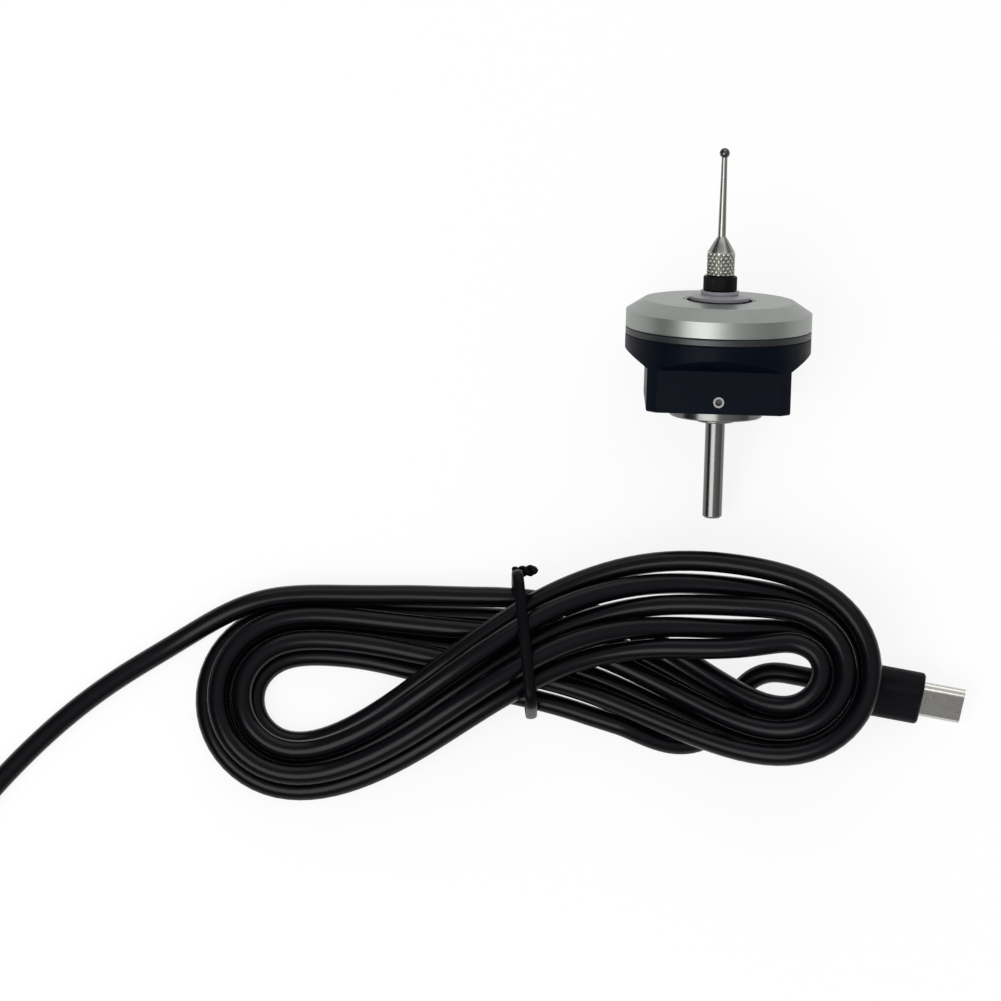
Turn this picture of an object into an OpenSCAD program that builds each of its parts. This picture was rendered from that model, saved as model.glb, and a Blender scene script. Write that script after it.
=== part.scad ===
// Touch probe for finding edges in three axes, lying on its housing, with its signal lead beside it.
// The probe is drawn upright, its axis on Z and the shank end of its housing at z = 0, and then laid
// down so that one milled flat and the edge of the round rim rest on the table.

/* [Shank adapter] */
// Diameter of the shank that the collet holds
shank_d = 4; // [3:0.5:6]
// Free length of the shank
shank_len = 20; // [12:1:30]
// Chamfer at the shank's end
shank_chamfer = 0.4; // [0.2:0.1:0.8]
// Diameter of the boss between shank and flange
boss_d = 8.2; // [7:0.2:12]
// Height of that boss
boss_h = 1.2; // [0.6:0.1:2]
// Diameter of the adapter's flange
flange_d = 19.2; // [17:0.2:22]
// Thickness of the flange
flange_h = 2.3; // [1.5:0.1:3]
// Diameter of the spigot that the centring screws push on
spigot_d = 15; // [12:0.5:16]
// Height of the spigot
spigot_h = 3.6; // [3.2:0.1:4.5]
// Play round the spigot, for centring the probe
centring_play = 0.6; // [0.3:0.1:0.8]

/* [Housing] */
// Diameter of the round part of the probe
body_d = 38; // [36:0.5:42]
// Distance of each milled flat from the axis
flat_reach = 14.6; // [14.2:0.1:15.2]
// How far the corners between the flats stand out past the round part
corner_step = 0.3; // [0:0.1:1]
// Length of the flats
flats_h = 8.7; // [8.4:0.1:10]
// Height of the slopes between flats and rim
slope_h = 2.7; // [2:0.1:4]
// Height of the housing's round rim
band_h = 2.8; // [2.4:0.1:4]
// Thickness of the floor over the adapter's recess
floor_t = 1.2; // [1:0.1:1.5]
// Wall of the housing beside the circuit board's screws
lower_wall = 7; // [6.8:0.1:7.2]
// Wall of the housing above the circuit board
upper_wall = 6; // [5.7:0.1:6.2]
// Wall of the housing round the ball seat ring
seat_wall = 4.95; // [4.8:0.05:5.2]
// Depth of that bore under the housing's upper face
seat_ledge = 0.9; // [0.6:0.1:1.2]
// Small chamfer on turned and milled edges
edge_break = 0.25; // [0.1:0.05:0.4]

/* [Ring and cover] */
// Thickness of the thin black gaskets
gasket_t = 0.15; // [0.1:0.05:0.3]
// How far the gaskets lie back from the rim
gasket_back = 0.25; // [0.1:0.05:0.5]
// Width of the gaskets
gasket_w = 1.7; // [1:0.1:2]
// Height of the dark ring between the gaskets
ring_h = 1.3; // [1:0.1:2.5]
// Height of the cover's cylindrical rim
rim_h = 3.4; // [2.5:0.1:5]
// Height of the cover's sloping shoulder
shoulder_h = 2.3; // [1.5:0.1:3]
// Width of the cover's sloping shoulder
shoulder_w = 3.55; // [2:0.05:4.5]
// Opening through the cover below its retaining ring
cover_bore = 13.8; // [13.5:0.1:14]
// Diameter of the retaining ring
retainer_d = 14.9; // [14.6:0.1:15.5]
// Thickness of the retaining ring
retainer_h = 0.95; // [0.8:0.05:1.2]
// Bore of the retaining ring
retainer_bore = 13.6; // [13.5:0.1:13.7]
// How far the retaining ring lies below the cover's face
retainer_drop = 0.05; // [0:0.05:0.3]
// Width of its two spanner notches
notch_w = 0.6; // [0.4:0.1:1]
// How far the notches reach into the ring and down
notch_reach = 0.4; // [0.2:0.1:0.5]

/* [Stylus] */
// Diameter of the black lock collar
collar_d = 6.9; // [6:0.1:7.2]
// Height of the lock collar
collar_h = 3.1; // [2:0.1:4]
// How far the collar stands over the cover's face
collar_rise = 1.9; // [1.7:0.1:3]
// Diameter of the knurled grip
grip_d = 5.7; // [5:0.1:6.5]
// Height of the knurled grip
grip_h = 4.9; // [3:0.1:7]
// Height of the cone over the grip
cone_h = 3.1; // [2:0.1:5]
// Diameter of the stem at the cone
stem_base_d = 1.64; // [1.4:0.02:2]
// Diameter of the stem at the ball
stem_tip_d = 1.16; // [1:0.02:1.3]
// Length from the cone to the middle of the ball
stem_len = 17; // [12:0.5:25]
// Diameter of the probing ball
tip_ball_d = 2.1; // [1.9:0.1:3]
// Diameter of the stylus's screw thread
stud_d = 3; // [2.5:0.1:3.2]
// Length of the thread below the collar
stud_len = 5; // [3:0.5:6]

/* [Contact mechanism] */
// Depth of the tilting point under the housing's upper face
pivot_drop = 2.7; // [2.5:0.05:2.8]
// How far the stylus can be pushed in
plunge = 2.5; // [1.5:0.1:2.5]
// Diameter of the three contact pins
pin_d = 1.5; // [1.2:0.1:1.6]
// Distance of the pins' ends from the axis
pin_reach = 6.2; // [6:0.1:6.5]
// Diameter of the tripod's hub
hub_d = 6.8; // [6.4:0.1:6.8]
// Diameter of the tripod's neck
neck_d = 5.2; // [4.8:0.1:5.4]
// Diameter of the six seat balls
seat_ball_d = 2; // [1.8:0.1:2]
// Distance of each pair of seat balls from the axis
seat_ball_reach = 5.2; // [5:0.1:5.4]
// Distance of each seat ball from the pin's middle, across the pin
seat_ball_aside = 1.35; // [1.35:0.05:1.5]
// Height of the seat balls over the pins' axes
seat_ball_rise = 1.65; // [1.65:0.05:1.75]
// Bore of the ball seat ring
seat_ring_bore = 7.2; // [7:0.1:7.4]
// Diameter of the ball that the spring pushes on the tripod
pressure_ball_d = 3.5; // [3.2:0.1:3.8]
// Diameter of the spring cap
cap_d = 8.4; // [7.8:0.1:9]
// Thickness of the spring cap
cap_t = 1; // [0.8:0.1:1]
// Wire of the return spring
spring_wire = 0.3; // [0.2:0.05:0.35]
// Mean diameter of the return spring
spring_d = 7; // [6.6:0.1:7.2]
// Turns of the return spring
spring_turns = 4; // [3:1:5]
// Diameter of the dust skirt in the retaining ring's opening
skirt_d = 11.9; // [11.5:0.1:12]
// Thickness of the dust skirt's rim
skirt_t = 0.6; // [0.4:0.1:0.8]
// How far the dust skirt's rim stands over the cover's face
skirt_rise = 0.1; // [0:0.05:0.3]
// Diameter of the dust skirt's flange under the collar
skirt_flange_d = 7.9; // [7.4:0.1:8.2]
// Thickness of that flange
skirt_flange_t = 0.5; // [0.3:0.1:0.6]
// Width of the groove under the flange
skirt_groove = 0.25; // [0.1:0.05:0.4]

/* [Electronics] */
// Width of the socket's metal shell
socket_w = 8.94; // [8.9:0.02:9.1]
// Thickness of the socket's metal shell
socket_t = 3.16; // [3.1:0.02:3.2]
// Length of the socket's metal shell
socket_len = 7.35; // [6.8:0.05:7.5]
// Sheet thickness of the socket's shell
socket_wall = 0.3; // [0.2:0.05:0.35]
// How far the socket lies back from its flat
socket_back = 0.4; // [0.2:0.1:0.8]
// Width of the contact tongue inside the socket
tongue_w = 6.7; // [6.4:0.1:6.8]
// Thickness of that tongue
tongue_t = 0.7; // [0.6:0.05:0.8]
// Thickness of the circuit board
board_t = 1; // [0.8:0.1:1.2]
// Width of the circuit board's ring
board_ring_w = 5; // [4.8:0.1:5.6]
// Diameter of the two hookup wires
wire_d = 0.9; // [0.6:0.1:1]

/* [Screws] */
// Thread of the centring screws
centring_d = 2.5; // [2:0.1:3]
// Height of the centring screws over the housing's shank face
centring_z = 2.4; // [2.2:0.05:2.55]
// How far the centring screws lie back from the flats
centring_back = 0.3; // [0.1:0.1:0.8]
// Width across flats of their sockets
centring_key = 1.3; // [1:0.1:1.4]
// Thread of the cover screws
cover_screw_d = 2; // [1.6:0.1:2.2]
// Distance of the cover screws from the probe's round side
cover_screw_inset = 3.45; // [3.3:0.05:3.6]
// Thread of the shank screw
shank_screw_d = 3; // [2.5:0.1:3.2]
// Thread of the board screws
board_screw_d = 1.6; // [1.4:0.1:1.8]

/* [Lead] */
// Outer diameter of the lead
cord_d = 4.2; // [4:0.1:4.3]
// Number of loops in the hank
loops = 5; // [4:1:5]
// Spacing of the loops side by side
cord_pitch = 5; // [5:0.05:5.2]
// Width of the plug's moulded body
mould_w = 11.5; // [10.5:0.1:12]
// Thickness of the plug's moulded body
mould_t = 7; // [6.2:0.1:7]
// Length of the plug's moulded body
mould_len = 16; // [14:0.5:18]
// Width of the plug's metal shell
plug_w = 8.25; // [8.2:0.01:8.3]
// Thickness of the plug's metal shell
plug_t = 2.4; // [2.38:0.01:2.45]
// Length of the plug's metal shell
plug_len = 8.4; // [6.6:0.1:9]
// Length of the strain relief behind the plug
relief_len = 6; // [5:0.5:8]
// Width of the tie round the hank
tie_w = 2; // [1.5:0.1:2.5]
// Thickness of the tie
tie_t = 1.1; // [0.8:0.1:1.2]
// Diameter of the sleeve at the lead's other end
sleeve_d = 5.2; // [5:0.1:5.5]
// Length of that sleeve
sleeve_len = 12; // [8:1:20]
// Diameter of the three thin wires
tail_wire_d = 1.3; // [1:0.1:1.6]
// Free length of the thin wires
tail_wire_len = 9; // [6:1:15]
// Spacing of the connector's contacts
contact_pitch = 2.5; // [2:0.1:2.54]
// Length of the connector
connector_len = 12; // [9:0.5:15]

/* [Hidden] */

$fn = 64;
// How far a cut runs past the face that it opens
over = 0.5;
// Gap between a screw, stud or ball and the hole that it fills
fit_gap = 0.02;
// Gap between parts that are only laid together
loose_gap = 0.1;

// Heights along the probe's axis, upwards from the housing's shank face
recess_h = spigot_h + loose_gap;
floor_z = recess_h + floor_t;
// Air under the socket, and then the board on top of it
socket_lift = 0.2;
socket_z = floor_z + socket_lift + socket_t / 2;
board_z = floor_z + socket_lift + socket_t;
board_top = board_z + board_t;
housing_h = flats_h + slope_h + band_h;
corner_d = body_d + 2 * corner_step;
lower_bore = body_d - 2 * lower_wall;
upper_bore = body_d - 2 * upper_wall;
seat_bore = body_d - 2 * seat_wall;
face_d = body_d - 2 * shoulder_w;
seat_z = housing_h - seat_ledge;
ring_z = housing_h + gasket_t;
cover_z = ring_z + ring_h + gasket_t;
rim_top = cover_z + rim_h;
face_z = rim_top + shoulder_h;
retainer_top = face_z - retainer_drop;
retainer_z = retainer_top - retainer_h;
collar_z = face_z + collar_rise;
grip_z = collar_z + collar_h;
cone_z = grip_z + grip_h;
stem_z = cone_z + cone_h;
tip_z = stem_z + stem_len;
shank_z = -flange_h - boss_h;
shank_end = shank_z - shank_len;

// Depth and height shares of small screw heads, worked out from their threads
head_d_share = 1.9;
key_share = 0.75;
socket_depth_share = 0.6;

// Tripod hub: the tilting point, and the hub's lower and upper faces about it
pivot_z = housing_h - pivot_drop;
hub_below = 0.9;
hub_above = 1.2;
hub_z = pivot_z - hub_below;
cap_gap = 0.4;
cap_top = hub_z - cap_gap;
cap_z = cap_top - cap_t;

// Shank screw with its low head, on a washer that also seats the return spring
washer_t = 0.4;
washer_margin = 0.6;
washer_d = spring_d + spring_wire + 2 * washer_margin;
shank_head_d = 5.5;
shank_head_h = 1.3;
shank_screw_z = floor_z + washer_t;
shank_key = 2;
shank_key_depth = 0.9;
// Solid metal left under the tapped hole, the space left under the screw's tip, and the wider hole
// that lets the adapter be centred
tap_floor = 1.2;
tip_space = 1.2;
shank_screw_hole_d = shank_screw_d + 2 * centring_play;

// Dust skirt: its rim, its neck under the flange and the flange, upwards
skirt_z = face_z + skirt_rise;
skirt_neck_d = skirt_flange_d - 2 * skirt_groove;
skirt_flange_z = collar_z - skirt_flange_t;

// Screws: heads, holes and places
cover_screw_at = (body_d / 2 - cover_screw_inset) / sqrt(2);
cover_head_d = cover_screw_d * head_d_share;
cover_head_h = cover_screw_d;
cover_head_drop = 0.3;
cover_screw_grip = 4.6;
cover_screw_top = cover_z + cover_screw_grip;
screw_clearance = 0.15;
board_head_d = 2.8;
board_head_h = 0.85;
board_screw_depth = 2;
board_post_d = 3.2;
board_play = 0.2;
board_d = upper_bore - 2 * board_play;
board_hole_d = board_d - 2 * board_ring_w;
board_middle = (board_d - board_ring_w) / 2;
board_screw_angles = [65, 180, 295];

// Socket opening in the housing's wall
socket_gap = 0.12;
socket_front = flat_reach - socket_back;
socket_rear = socket_front - socket_len;
// Contact tongue: how far it ends behind the shell's mouth, and the block that it grows from
tongue_short = 1;
tongue_root_t = 2.1;
tongue_root_len = 1.4;

// Laying the probe down: it rests on the rim's lower edge and on the shank edge of one flat
rest_run = flats_h + slope_h;
rest_rise = body_d / 2 - flat_reach;
lie = atan2(rest_rise, rest_run);
axis_z = flat_reach * cos(lie);
y_low = shank_end * cos(lie) - (shank_d / 2 - shank_chamfer) * sin(lie);
y_high = tip_z * cos(lie) + tip_ball_d / 2;
y_mid = (y_low + y_high) / 2;

module lay() {
    translate([0, -y_mid, axis_z])
        rotate([lie - 90, 0, 0])
            children();
}

// Small helpers

module disc(d, low, high) {
    translate([0, 0, low])
        cylinder(d = d, h = high - low);
}

// A disc with a chamfer on one or both edges
module soft_disc(d, low, high, bottom = 0, top = 0) {
    rotate_extrude()
        polygon([
            [0, low], [d / 2 - bottom, low], [d / 2, low + bottom],
            [d / 2, high - top], [d / 2 - top, high], [0, high],
        ]);
}

// A bar of round-ended section along X, centred on the X axis
module round_bar(width, thick, from, to) {
    translate([from, 0, 0])
        rotate([90, 0, 90])
            linear_extrude(height = to - from) {
                square([width - thick, thick], center = true);
                for (side = [-1, 1])
                    translate([side * (width - thick) / 2, 0])
                        circle(d = thick);
            }
}

// Hexagon by its width across flats, as a prism
module hex_key(across, low, high) {
    translate([0, 0, low])
        cylinder(d = across / cos(30), h = high - low, $fn = 6);
}

module at_cover_screws() {
    for (x = [-1, 1], y = [-1, 1])
        translate([x * cover_screw_at, y * cover_screw_at, 0])
            children();
}

module at_board_screws() {
    for (angle = board_screw_angles)
        rotate(angle)
            translate([board_middle, 0, 0])
                children();
}

// The four radial directions of the flats; children lie along +X
module at_flats() {
    for (angle = [0, 90, 180, 270])
        rotate(angle)
            children();
}

// Shank adapter

module shank() {
    color("silver") lay() difference() {
        union() {
            soft_disc(shank_d, shank_end, shank_z, shank_chamfer);
            soft_disc(boss_d, shank_z, -flange_h, edge_break);
            soft_disc(flange_d, -flange_h, 0, edge_break);
            disc(spigot_d, 0, spigot_h);
        }
        disc(shank_screw_d, shank_z + tap_floor, spigot_h + over);
    }
}

module shank_screw() {
    head_top = shank_screw_z + shank_head_h;
    color("dimgray") lay() difference() {
        union() {
            disc(shank_screw_d - 2 * fit_gap, shank_z + tap_floor + tip_space, shank_screw_z);
            soft_disc(shank_head_d, shank_screw_z, head_top, 0, edge_break);
        }
        hex_key(shank_key, head_top - shank_key_depth, head_top + over);
    }
}

module shank_washer() {
    color("silver") lay() difference() {
        disc(washer_d, floor_z, shank_screw_z);
        disc(shank_screw_d + screw_clearance, floor_z - over, shank_screw_z + over);
    }
}

module centring_screws() {
    color("silver") lay() at_flats()
        translate([0, 0, centring_z])
            rotate([0, 90, 0])
                difference() {
                    soft_disc(centring_d - 2 * fit_gap, spigot_d / 2, flat_reach - centring_back,
                              edge_break, edge_break / 2);
                    hex_key(centring_key, flat_reach - centring_back - centring_key, flat_reach + over);
                }
}

// Housing

module housing_outline() {
    intersection() {
        union() {
            soft_disc(corner_d, 0, flats_h, edge_break);
            rotate_extrude()
                polygon([
                    [0, flats_h], [corner_d / 2, flats_h], [body_d / 2, flats_h + slope_h],
                    [body_d / 2, housing_h - edge_break / 2], [body_d / 2 - edge_break / 2, housing_h],
                    [0, housing_h],
                ]);
        }
        square_walls();
        rotate(90)
            square_walls();
    }
}

// Two opposite flats with their slopes, as an outline drawn out along Y
module square_walls() {
    rotate([90, 0, 0])
        translate([0, 0, -corner_d / 2])
            linear_extrude(height = corner_d)
                polygon([for (side = [1, -1], p = side > 0 ? wall_points : wall_points_back)
                    [side * p[0], p[1]]]);
}

wall_points = [
    [flat_reach - edge_break, 0], [flat_reach, edge_break], [flat_reach, flats_h],
    [body_d / 2, flats_h + slope_h], [corner_d / 2, flats_h + slope_h], [corner_d / 2, housing_h],
];
wall_points_back = [for (i = [len(wall_points) - 1:-1:0]) wall_points[i]];

module housing() {
    color([0.07, 0.08, 0.11]) lay() difference() {
        housing_outline();
        disc(spigot_d + 2 * centring_play, -over, recess_h);
        disc(shank_screw_hole_d, recess_h - over, floor_z + over);
        difference() {
            disc(lower_bore, floor_z, board_z + over);
            at_board_screws()
                disc(board_post_d, floor_z - over, board_z);
        }
        disc(upper_bore, board_z, seat_z + over);
        disc(seat_bore, seat_z, housing_h + over);
        at_board_screws()
            disc(board_screw_d, board_z - board_screw_depth - over, board_z + over);
        at_flats()
            translate([0, 0, centring_z])
                rotate([0, 90, 0])
                    disc(centring_d, spigot_d / 2, corner_d / 2 + over);
        at_cover_screws() {
            disc(cover_head_d + 2 * screw_clearance, -over, cover_head_drop + cover_head_h);
            disc(cover_screw_d + 2 * screw_clearance, 0, housing_h + over);
        }
        translate([0, 0, socket_z])
            round_bar(socket_w + 2 * socket_gap, socket_t + 2 * socket_gap, socket_rear, flat_reach + over);
    }
}

module cover_screws() {
    color("silver") lay() at_cover_screws()
        difference() {
            union() {
                soft_disc(cover_head_d, cover_head_drop, cover_head_drop + cover_head_h, edge_break);
                disc(cover_screw_d - 2 * fit_gap, cover_head_drop, cover_screw_top);
            }
            hex_key(cover_screw_d * key_share, cover_head_drop - over,
                    cover_head_drop + cover_screw_d * socket_depth_share);
        }
}

// Gaskets, ring and cover

module gasket(low) {
    difference() {
        disc(body_d - 2 * gasket_back, low, low + gasket_t);
        disc(body_d - 2 * gasket_back - 2 * gasket_w, low - over, low + gasket_t + over);
    }
}

module lower_gasket() {
    color([0.02, 0.02, 0.02]) lay()
        gasket(housing_h);
}

module upper_gasket() {
    color([0.02, 0.02, 0.02]) lay()
        gasket(ring_z + ring_h);
}

module middle_ring() {
    color([0.22, 0.22, 0.23]) lay() difference() {
        soft_disc(body_d, ring_z, ring_z + ring_h, edge_break / 2, edge_break / 2);
        disc(seat_bore, ring_z - over, ring_z + ring_h + over);
        at_cover_screws()
            disc(cover_screw_d + 2 * screw_clearance, ring_z - over, ring_z + ring_h + over);
    }
}

module top_cover() {
    color([0.72, 0.73, 0.72]) lay() difference() {
        rotate_extrude()
            polygon([
                [0, cover_z], [body_d / 2 - edge_break / 2, cover_z], [body_d / 2, cover_z + edge_break / 2],
                [body_d / 2, rim_top], [face_d / 2, face_z], [0, face_z],
            ]);
        disc(cover_bore, cover_z - over, retainer_z + over);
        disc(retainer_d + 2 * fit_gap, retainer_z, face_z + over);
        at_cover_screws()
            disc(cover_screw_d, cover_z - over, cover_screw_top + loose_gap);
    }
}

// A threaded ring that closes the cover's opening down to the room that the skirt needs
module retaining_ring() {
    color([0.55, 0.56, 0.56]) lay() difference() {
        soft_disc(retainer_d, retainer_z, retainer_top, 0, edge_break / 2);
        disc(retainer_bore, retainer_z - over, retainer_top + over);
        for (side = [-1, 1])
            translate([side * retainer_bore / 2, 0, retainer_top])
                cube([2 * notch_reach, notch_w, 2 * notch_reach], center = true);
    }
}

// Electronics

module circuit_board() {
    color([0.05, 0.3, 0.15]) lay() difference() {
        disc(board_d, board_z, board_top);
        disc(board_hole_d, board_z - over, board_top + over);
        at_board_screws()
            disc(board_screw_d + screw_clearance, board_z - over, board_top + over);
    }
}

module board_screws() {
    head_top = board_top + board_head_h;
    color("silver") lay() at_board_screws()
        difference() {
            union() {
                disc(board_screw_d - 2 * fit_gap, board_z - board_screw_depth, board_top);
                soft_disc(board_head_d, board_top, head_top, 0, edge_break / 2);
            }
            hex_key(board_screw_d * key_share / 2, board_top + board_head_h / 2, head_top + over);
        }
}

// Chips as angle, width, length and height in shares of the board's ring
chip_shares = [
    [95, 0.85, 0.75, 0.18], [265, 0.7, 0.6, 0.16], [125, 0.3, 0.4, 0.15], [150, 0.25, 0.35, 0.12],
    [210, 0.25, 0.35, 0.12], [235, 0.3, 0.4, 0.15],
];

module board_chips() {
    color([0.06, 0.06, 0.06]) lay()
        for (chip = chip_shares)
            rotate(chip[0])
                translate([board_middle, 0, board_top + chip[3] * board_ring_w / 2])
                    cube(board_ring_w * [chip[2], chip[1], chip[3]], center = true);
}

led_size = [0.8, 1.6, 0.7];
led_angles = [40, 320];

module status_leds() {
    color([0.85, 0.2, 0.15]) lay()
        for (angle = led_angles)
            rotate(angle)
                translate([board_d / 2 - led_size[0], -led_size[1] / 2, board_top])
                    cube(led_size);
}

module usb_socket_shell() {
    color("silver") lay() translate([0, 0, socket_z])
        difference() {
            round_bar(socket_w, socket_t, socket_rear, socket_front);
            round_bar(socket_w - 2 * socket_wall, socket_t - 2 * socket_wall, socket_rear + socket_wall,
                      socket_front + over);
        }
}

module usb_socket_tongue() {
    tongue_rear = socket_rear + socket_wall;
    color([0.08, 0.08, 0.08]) lay() translate([0, 0, socket_z]) {
        translate([tongue_rear, -tongue_w / 2, -tongue_t / 2])
            cube([socket_front - tongue_short - tongue_rear, tongue_w, tongue_t]);
        round_bar(tongue_w + tongue_t, tongue_root_t, tongue_rear, tongue_rear + tongue_root_len);
    }
}

// Two short wires from the board up to the ball seat ring
wire_angles = [15, 345];

module hookup_wires() {
    color([0.75, 0.1, 0.1]) lay()
        for (angle = wire_angles)
            rotate(angle)
                translate([board_middle, 0, 0])
                    disc(wire_d, board_top, seat_z);
}

// Contact mechanism

module at_pins() {
    for (angle = [90, 210, 330])
        rotate(angle)
            children();
}

module at_seat_balls() {
    at_pins()
        for (side = [-1, 1])
            translate([seat_ball_reach, side * seat_ball_aside, pivot_z + seat_ball_rise])
                children();
}

module ball_seat_ring() {
    color([0.85, 0.83, 0.76]) lay() difference() {
        disc(seat_bore - 2 * fit_gap, seat_z, cover_z);
        disc(seat_ring_bore, seat_z - over, cover_z + over);
        at_seat_balls()
            sphere(d = seat_ball_d + 2 * fit_gap);
    }
}

module seat_balls() {
    color("silver") lay() at_seat_balls()
        sphere(d = seat_ball_d);
}

module return_spring() {
    spring_low = shank_screw_z + spring_wire / 2;
    spring_high = cap_z - spring_wire / 2;
    steps = 12;
    count = spring_turns * steps;
    color("gray") lay()
        tube([for (i = [0:count]) let (
            angle = 360 * i / steps,
            climb = min(max((i - steps / 2) / (count - steps), 0), 1)
        ) [spring_d / 2 * cos(angle), spring_d / 2 * sin(angle),
           spring_low + climb * (spring_high - spring_low)]], spring_wire, 6);
}

module spring_cap() {
    color([0.8, 0.78, 0.7]) lay() difference() {
        soft_disc(cap_d, cap_z, cap_top, edge_break, edge_break);
        translate([0, 0, pivot_z])
            sphere(d = pressure_ball_d + 2 * fit_gap);
    }
}

module pressure_ball() {
    color("silver") lay() translate([0, 0, pivot_z])
        sphere(d = pressure_ball_d);
}

module tripod_hub() {
    color([0.7, 0.68, 0.6]) lay() difference() {
        union() {
            disc(hub_d, hub_z, pivot_z + hub_above);
            disc(neck_d, pivot_z, collar_z);
        }
        translate([0, 0, pivot_z])
            sphere(d = pressure_ball_d + 2 * fit_gap);
        disc(pressure_ball_d + 2 * fit_gap, hub_z - over, pivot_z);
        disc(stud_d, collar_z - stud_len - loose_gap, collar_z + over);
        at_pins()
            pin_hole();
    }
}

// The pins start halfway through the hub's wall
pin_root = (pressure_ball_d + hub_d) / 4;

module pin_hole() {
    translate([0, 0, pivot_z])
        rotate([0, 90, 0])
            disc(pin_d, pin_root, hub_d);
}

module contact_pins() {
    color("silver") lay() at_pins()
        translate([0, 0, pivot_z])
            rotate([0, 90, 0])
                soft_disc(pin_d - 2 * fit_gap, pin_root, pin_reach, 0, edge_break / 2);
}

module dust_skirt() {
    color([0.47, 0.46, 0.5]) lay() difference() {
        rotate_extrude()
            polygon([
                [0, skirt_z], [skirt_d / 2, skirt_z], [skirt_d / 2, skirt_z + skirt_t],
                [skirt_neck_d / 2, skirt_flange_z - skirt_groove], [skirt_neck_d / 2, skirt_flange_z],
                [skirt_flange_d / 2, skirt_flange_z], [skirt_flange_d / 2, collar_z], [0, collar_z],
            ]);
        disc(neck_d + 2 * fit_gap, skirt_z - over, collar_z + over);
    }
}

module lock_collar() {
    color([0.03, 0.03, 0.03]) lay() difference() {
        soft_disc(collar_d, collar_z, grip_z, edge_break, edge_break);
        disc(stud_d, collar_z - over, grip_z + over);
    }
}

module stylus_stem() {
    color([0.62, 0.6, 0.56]) lay() difference() {
        union() {
            disc(stud_d - 2 * fit_gap, collar_z - stud_len, grip_z);
            rotate_extrude()
                polygon([
                    [0, grip_z], [grip_d / 2 - edge_break, grip_z], [grip_d / 2, grip_z + edge_break],
                    [grip_d / 2, cone_z], [stem_base_d / 2, stem_z], [stem_tip_d / 2, tip_z], [0, tip_z],
                ]);
        }
        translate([0, 0, tip_z])
            sphere(d = tip_ball_d);
    }
}

module stylus_ball() {
    color([0.35, 0.34, 0.34]) lay() translate([0, 0, tip_z])
        sphere(d = tip_ball_d);
}

// Lead: a tube swept along points, all its faces triangles, a corner of each ring at the bottom

function unit(v) = v / norm(v);

function heading(points, i) =
    unit(points[min(i + 1, len(points) - 1)] - points[max(i - 1, 0)]);

function ring_at(points, i, d, sides) = let (
    along = heading(points, i),
    aside = unit(cross(along, [0, 0, 1])),
    up = cross(aside, along)
) [for (k = [0:sides - 1]) let (angle = 360 * k / sides - 90)
    points[i] + d / 2 * (cos(angle) * aside + sin(angle) * up)];

module tube(points, d, sides) {
    last = len(points) - 1;
    polyhedron(
        points = [for (i = [0:last]) each ring_at(points, i, d, sides)],
        faces = concat(
            [for (k = [1:sides - 2]) [0, k, k + 1]],
            [for (k = [1:sides - 2]) [last * sides, last * sides + k + 1, last * sides + k]],
            [for (i = [0:last - 1], k = [0:sides - 1]) let (next = (k + 1) % sides)
                [i * sides + k, (i + 1) * sides + k, i * sides + next]],
            [for (i = [0:last - 1], k = [0:sides - 1]) let (next = (k + 1) % sides)
                [i * sides + next, (i + 1) * sides + k, (i + 1) * sides + next]]
        ),
        convexity = 10
    );
}

function ease(x) = let (c = min(max(x, 0), 1)) c * c * (3 - 2 * c);

// Hank: points that lead the middle line of its loops on the table, from the lower crossing round the
// left lobe, over the crossing and round the right lobe. Each point also has how far the loops spread
// there, as a share of their spacing, and how high they lie, in spacings.
hank_line = [
    [-37, -65.5], [-51, -64], [-66, -61.8], [-78, -60.6], [-89.6, -61.4], [-97.8, -69.2], [-98, -80.6],
    [-90, -89], [-78.2, -89.4], [-64, -83], [-50, -73], [-37, -64], [-24, -57.6], [-10, -53], [5, -51.6],
    [19.5, -52.8], [29.9, -61.3], [30.6, -74.1], [22, -83.3], [8.8, -83.8], [-8.5, -75.5], [-23.5, -68.5],
];
hank_spread_shares = [
    0.8, 0.7, 0.5, 0.5, 0.5, 0.5, 0.5, 0.5, 0.5, 0.55, 0.6, 0.68, 0.8, 0.93, 0.9, 0.62, 0.5, 0.5, 0.5, 0.5,
    0.7, 0.8,
];
hank_lift_shares = [
    0.55, 0.3, 0, 0, 0, 0, 0, 0, 0.1, 1, 2.05, 2.2, 2.3, 2.5, 2.6, 2.3, 2.25, 2.2, 1.95, 1.45, 0.6, 0.5,
];
// Where a loop moves over by one place, half the length of that move, and where the hank starts
// and ends, all as shares of a loop
shift_share = 0.59;
shift_half_share = 0.08;
hank_start_share = -0.05;
hank_end_share = 0.04;
rings_a_lobe = 24;
least_spread_share = 0.5;

// Smooth curve that four points in a row lead past the middle two, and its slope, from f = 0 to 1
function curve(a, b, c, d, f) =
    (a * (1 - f) ^ 3 + b * (4 - 6 * f ^ 2 + 3 * f ^ 3)
    + c * (1 + 3 * f + 3 * f ^ 2 - 3 * f ^ 3) + d * f ^ 3) / 6;

function slope(a, b, c, d, f) =
    (-a * (1 - f) ^ 2 + b * (3 * f ^ 2 - 4 * f) + c * (1 + 2 * f - 3 * f ^ 2) + d * f ^ 2) / 2;

// The same along a closed list, at a place counted in points
function wrap(list, i) = list[(i + 2 * len(list)) % len(list)];

function closed_curve(list, at) = let (i = floor(at), f = at - i)
    curve(wrap(list, i - 1), wrap(list, i), wrap(list, i + 1), wrap(list, i + 2), f);

function closed_slope(list, at) = let (i = floor(at), f = at - i)
    slope(wrap(list, i - 1), wrap(list, i), wrap(list, i + 1), wrap(list, i + 2), f);

// Place of the strand in the bundle, counted from its middle, after so many loops
function strand_place(turns) = let (turn = floor(turns))
    turn - (loops - 1) / 2 + ease((turns - turn - shift_share + shift_half_share) / (2 * shift_half_share));

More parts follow.
